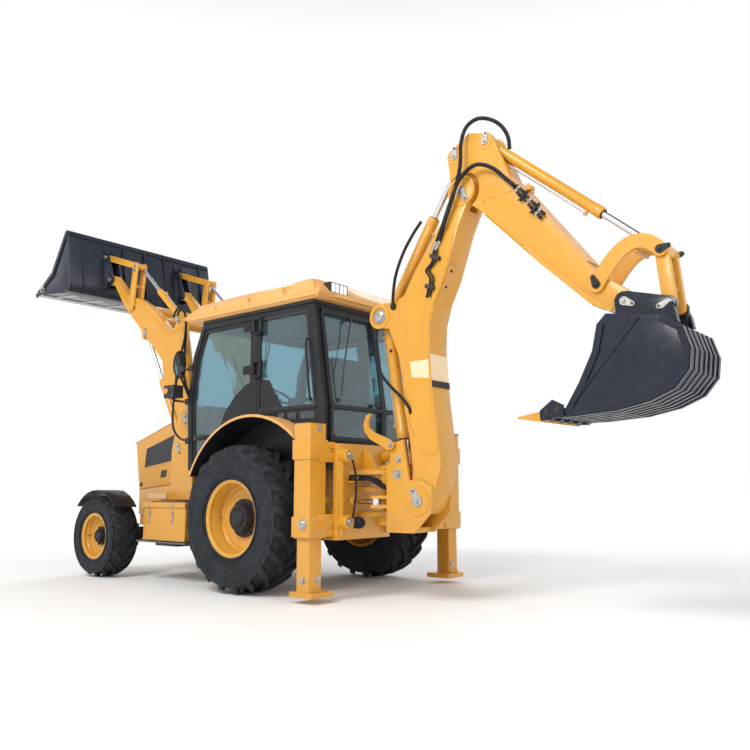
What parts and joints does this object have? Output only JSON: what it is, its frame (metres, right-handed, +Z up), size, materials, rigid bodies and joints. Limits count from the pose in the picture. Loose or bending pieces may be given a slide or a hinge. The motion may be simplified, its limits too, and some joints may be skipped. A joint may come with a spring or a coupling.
{
  "type": "backhoe loader",
  "caption": "Wheeled backhoe loader with a front loading bucket, an enclosed glazed cab, vertical stabiliser legs and a side-shift digging arm at the rear.",
  "frame": {"origin": "centre of the bounding box on the ground under the tyres", "axes": "+X forward to the loading bucket, +Y to the driver's left, +Z up"},
  "size_m": [7.665, 2.15, 3.925],
  "materials": {
    "machine_paint": "gloss enamel",
    "roof_paint": "satin enamel",
    "bucket_paint": "gloss enamel",
    "black_paint": "satin enamel",
    "tyre_rubber": "moulded rubber",
    "chrome": "polished",
    "casting": "painted casting",
    "seat_vinyl": "woven and vinyl",
    "cab_glass": "tinted clear"
  },
  "bodies": {
    "chassis": {"chassis_frame": "machine_paint", "engine_block": "casting", "front_axle": "casting", "rear_axle": "casting", "toolbox_left": "machine_paint", "fuel_tank_right": "machine_paint", "cab_frame": "black_paint", "cab_roof": "roof_paint", "windscreen": "cab_glass", "rear_window": "cab_glass", "driver_seat": "seat_vinyl", "steering_console": "black_paint", "rear_fender_left": "roof_paint", "rear_fender_right": "roof_paint", "rear_frame": "machine_paint"},
    "hood": {"hood": "machine_paint"},
    "toolbox_lid": {"toolbox_lid": "machine_paint"},
    "door_left": {"cab_door_left": "cab_glass"},
    "door_right": {"cab_door_right": "cab_glass"},
    "knuckle_left": {"steering_knuckle_left": "casting"},
    "knuckle_right": {"steering_knuckle_right": "casting"},
    "wheel_front_left": {"front_tyre_left": "tyre_rubber", "front_rim_left": "machine_paint"},
    "wheel_front_right": {"front_tyre_right": "tyre_rubber", "front_rim_right": "machine_paint"},
    "wheel_rear_left": {"rear_tyre_left": "tyre_rubber", "rear_rim_left": "machine_paint"},
    "wheel_rear_right": {"rear_tyre_right": "tyre_rubber", "rear_rim_right": "machine_paint"},
    "loader_arms": {"loader_arms": "machine_paint"},
    "loader_bucket": {"loader_bucket": "bucket_paint"},
    "tilt_levers": {"tilt_lever_left": "machine_paint", "tilt_lever_right": "machine_paint"},
    "bucket_links": {"bucket_link_left": "machine_paint", "bucket_link_right": "machine_paint"},
    "tilt_barrels": {"tilt_ram_left_barrel": "machine_paint", "tilt_ram_right_barrel": "machine_paint"},
    "tilt_rods": {"tilt_ram_left_rod": "chrome", "tilt_ram_right_rod": "chrome"},
    "lift_barrels": {"lift_ram_left_barrel": "machine_paint", "lift_ram_right_barrel": "machine_paint"},
    "lift_rods": {"lift_ram_left_rod": "chrome", "lift_ram_right_rod": "chrome"},
    "leg_left": {"stabiliser_leg_left": "machine_paint"},
    "leg_right": {"stabiliser_leg_right": "machine_paint"},
    "carriage": {"side_shift_carriage": "machine_paint"},
    "swing_rod_left": {"swing_rod_left": "chrome"},
    "swing_rod_right": {"swing_rod_right": "chrome"},
    "kingpost": {"kingpost": "machine_paint"},
    "boom": {"boom": "machine_paint"},
    "boom_ram_barrel": {"boom_ram_barrel": "machine_paint"},
    "boom_ram_rod": {"boom_ram_rod": "chrome"},
    "dipper": {"dipper_arm": "machine_paint"},
    "dipper_ram_barrel": {"dipper_ram_barrel": "machine_paint"},
    "dipper_ram_rod": {"dipper_ram_rod": "chrome"},
    "backhoe_bucket": {"backhoe_bucket": "bucket_paint"},
    "rocker": {"bucket_rocker": "black_paint"},
    "tie_link": {"bucket_tie_link": "black_paint"},
    "bucket_ram_barrel": {"bucket_ram_barrel": "machine_paint"},
    "bucket_ram_rod": {"bucket_ram_rod": "chrome"}
  },
  "joints": [
    {"name": "wheel_rear_left_spin", "type": "hinge", "parent": "chassis", "child": "wheel_rear_left", "pos_m": [0.0525, 0.86, 0.6465], "axis": [0, 1, 0], "continuous": true},
    {"name": "wheel_rear_right_spin", "type": "hinge", "parent": "chassis", "child": "wheel_rear_right", "pos_m": [0.0525, -0.86, 0.6465], "axis": [0, 1, 0], "continuous": true},
    {"name": "steer_left", "type": "hinge", "parent": "chassis", "child": "knuckle_left", "pos_m": [2.2105, 0.69, 0.4155], "axis": [0, 0, 1], "range_deg": [-33, 33]},
    {"name": "steer_right", "type": "hinge", "parent": "chassis", "child": "knuckle_right", "pos_m": [2.2105, -0.69, 0.4155], "axis": [0, 0, 1], "range_deg": [-33, 33]},
    {"name": "wheel_front_left_spin", "type": "hinge", "parent": "knuckle_left", "child": "wheel_front_left", "pos_m": [2.2105, 0.925, 0.4155], "axis": [0, 1, 0], "continuous": true},
    {"name": "wheel_front_right_spin", "type": "hinge", "parent": "knuckle_right", "child": "wheel_front_right", "pos_m": [2.2105, -0.925, 0.4155], "axis": [0, 1, 0], "continuous": true},
    {"name": "door_left_hinge", "type": "hinge", "parent": "chassis", "child": "door_left", "pos_m": [0.0825, 0.8, 1.8], "axis": [0, 0, 1], "range_deg": [0, 75]},
    {"name": "door_right_hinge", "type": "hinge", "parent": "chassis", "child": "door_right", "pos_m": [0.0825, -0.8, 1.8], "axis": [0, 0, -1], "range_deg": [0, 75]},
    {"name": "hood_hinge", "type": "hinge", "parent": "chassis", "child": "hood", "pos_m": [1.2525, 0, 1.7], "axis": [0, -1, 0], "range_deg": [0, 40]},
    {"name": "toolbox_lid_hinge", "type": "hinge", "parent": "chassis", "child": "toolbox_lid", "pos_m": [1.2325, 0.625, 0.77], "axis": [1, 0, 0], "range_deg": [0, 80]},
    {"name": "loader_lift", "type": "hinge", "parent": "chassis", "child": "loader_arms", "pos_m": [1.3825, 0, 1.64], "axis": [0, -1, 0], "range_deg": [-84, 0]},
    {"name": "lift_ram_pivot", "type": "hinge", "parent": "chassis", "child": "lift_barrels", "pos_m": [1.4825, 0, 1.34], "axis": [0, -1, 0], "range_deg": [-84, 0]},
    {"name": "lift_ram_stroke", "type": "slide", "parent": "lift_barrels", "child": "lift_rods", "axis": [0.4903, 0, 0.8716], "range_m": [-0.43, 0]},
    {"name": "bucket_tilt", "type": "hinge", "parent": "loader_arms", "child": "loader_bucket", "pos_m": [2.9425, 0, 3.37], "axis": [0, 1, 0], "range_deg": [-85, 43]},
    {"name": "tilt_lever_pivot", "type": "hinge", "parent": "loader_arms", "child": "tilt_levers", "pos_m": [2.4825, 0, 2.98], "axis": [0, 1, 0], "range_deg": [-53, 27]},
    {"name": "bucket_link_pivot", "type": "hinge", "parent": "loader_bucket", "child": "bucket_links", "pos_m": [3.0525, 0, 3.67], "axis": [0, 1, 0], "range_deg": [-36, 71]},
    {"name": "tilt_ram_pivot", "type": "hinge", "parent": "loader_arms", "child": "tilt_barrels", "pos_m": [1.6025, 0, 2.7], "axis": [0, 1, 0], "range_deg": [-7, 4]},
    {"name": "tilt_ram_stroke", "type": "slide", "parent": "tilt_barrels", "child": "tilt_rods", "axis": [0.7379, 0, 0.6749], "range_m": [-0.36, 0.18]},
    {"name": "leg_left_slide", "type": "slide", "parent": "chassis", "child": "leg_left", "axis": [0, 0, 1], "range_m": [-0.18, 0.4]},
    {"name": "leg_right_slide", "type": "slide", "parent": "chassis", "child": "leg_right", "axis": [0, 0, 1], "range_m": [-0.18, 0.4]},
    {"name": "side_shift", "type": "slide", "parent": "chassis", "child": "carriage", "axis": [0, 1, 0], "range_m": [-0.92, 0]},
    {"name": "backhoe_swing", "type": "hinge", "parent": "carriage", "child": "kingpost", "pos_m": [-1.2475, 0.46, 0.8], "axis": [0, 0, -1], "range_deg": [-90, 90]},
    {"name": "swing_rod_left_stroke", "type": "slide", "parent": "carriage", "child": "swing_rod_left", "axis": [1, 0, 0], "range_m": [-0.21, 0.21]},
    {"name": "swing_rod_right_stroke", "type": "slide", "parent": "carriage", "child": "swing_rod_right", "axis": [1, 0, 0], "range_m": [-0.21, 0.21]},
    {"name": "boom_lift", "type": "hinge", "parent": "kingpost", "child": "boom", "pos_m": [-1.6475, 0.46, 0.81], "axis": [0, 1, 0], "range_deg": [-95, 3]},
    {"name": "boom_ram_pivot", "type": "hinge", "parent": "boom", "child": "boom_ram_barrel", "pos_m": [-1.2475, 0.46, 2.335], "axis": [0, 1, 0], "range_deg": [-5, 1]},
    {"name": "boom_ram_stroke", "type": "slide", "parent": "boom_ram_barrel", "child": "boom_ram_rod", "axis": [-0.1504, 0, -0.9886], "range_m": [-0.04, 0.43]},
    {"name": "dipper_crowd", "type": "hinge", "parent": "boom", "child": "dipper", "pos_m": [-2.0835, 0.46, 3.233], "axis": [0, -1, 0], "range_deg": [-85, 15]},
    {"name": "dipper_ram_pivot", "type": "hinge", "parent": "boom", "child": "dipper_ram_barrel", "pos_m": [-1.2475, 0.46, 2.335], "axis": [0, -1, 0], "range_deg": [-5, 2]},
    {"name": "dipper_ram_stroke", "type": "slide", "parent": "dipper_ram_barrel", "child": "dipper_ram_rod", "axis": [-0.5327, 0, 0.8463], "range_m": [-0.43, 0.16]},
    {"name": "backhoe_bucket_curl", "type": "hinge", "parent": "dipper", "child": "backhoe_bucket", "pos_m": [-3.3645, 0.46, 2.146], "axis": [0, -1, 0], "range_deg": [-95, 38]},
    {"name": "rocker_pivot", "type": "hinge", "parent": "dipper", "child": "rocker", "pos_m": [-3.1735, 0.46, 2.291], "axis": [0, -1, 0], "range_deg": [-65, 34]},
    {"name": "tie_link_pivot", "type": "hinge", "parent": "backhoe_bucket", "child": "tie_link", "pos_m": [-3.6565, 0.46, 2.086], "axis": [0, -1, 0], "range_deg": [-34, 66]},
    {"name": "bucket_ram_pivot", "type": "hinge", "parent": "dipper", "child": "bucket_ram_barrel", "pos_m": [-2.2955, 0.46, 3.59], "axis": [0, -1, 0], "range_deg": [-3, 2]},
    {"name": "bucket_ram_stroke", "type": "slide", "parent": "bucket_ram_barrel", "child": "bucket_ram_rod", "axis": [-0.7593, 0, -0.6508], "range_m": [-0.47, 0.24]}
  ],
  "couplings": [
    {"joint": "steer_right", "follows": "steer_left", "ratio": 1},
    {"joint": "lift_ram_pivot", "follows": "loader_lift", "ratio": 1},
    {"joint": "lift_ram_stroke", "follows": "loader_lift", "m_per_rad": 0.287},
    {"joint": "tilt_lever_pivot", "follows": "bucket_tilt", "ratio": 0.57},
    {"joint": "bucket_link_pivot", "follows": "bucket_tilt", "ratio": -0.76},
    {"joint": "tilt_ram_pivot", "follows": "bucket_tilt", "ratio": 0.08},
    {"joint": "tilt_ram_stroke", "follows": "bucket_tilt", "m_per_rad": 0.235},
    {"joint": "swing_rod_left_stroke", "follows": "backhoe_swing", "m_per_rad": 0.127},
    {"joint": "swing_rod_right_stroke", "follows": "backhoe_swing", "m_per_rad": -0.127},
    {"joint": "boom_ram_pivot", "follows": "boom_lift", "ratio": 0.04},
    {"joint": "boom_ram_stroke", "follows": "boom_lift", "m_per_rad": -0.25},
    {"joint": "dipper_ram_pivot", "follows": "dipper_crowd", "ratio": 0.045},
    {"joint": "dipper_ram_stroke", "follows": "dipper_crowd", "m_per_rad": 0.28},
    {"joint": "rocker_pivot", "follows": "backhoe_bucket_curl", "ratio": 0.67},
    {"joint": "tie_link_pivot", "follows": "backhoe_bucket_curl", "ratio": -0.69},
    {"joint": "bucket_ram_pivot", "follows": "backhoe_bucket_curl", "ratio": 0.004},
    {"joint": "bucket_ram_stroke", "follows": "backhoe_bucket_curl", "m_per_rad": 0.277}
  ]
}
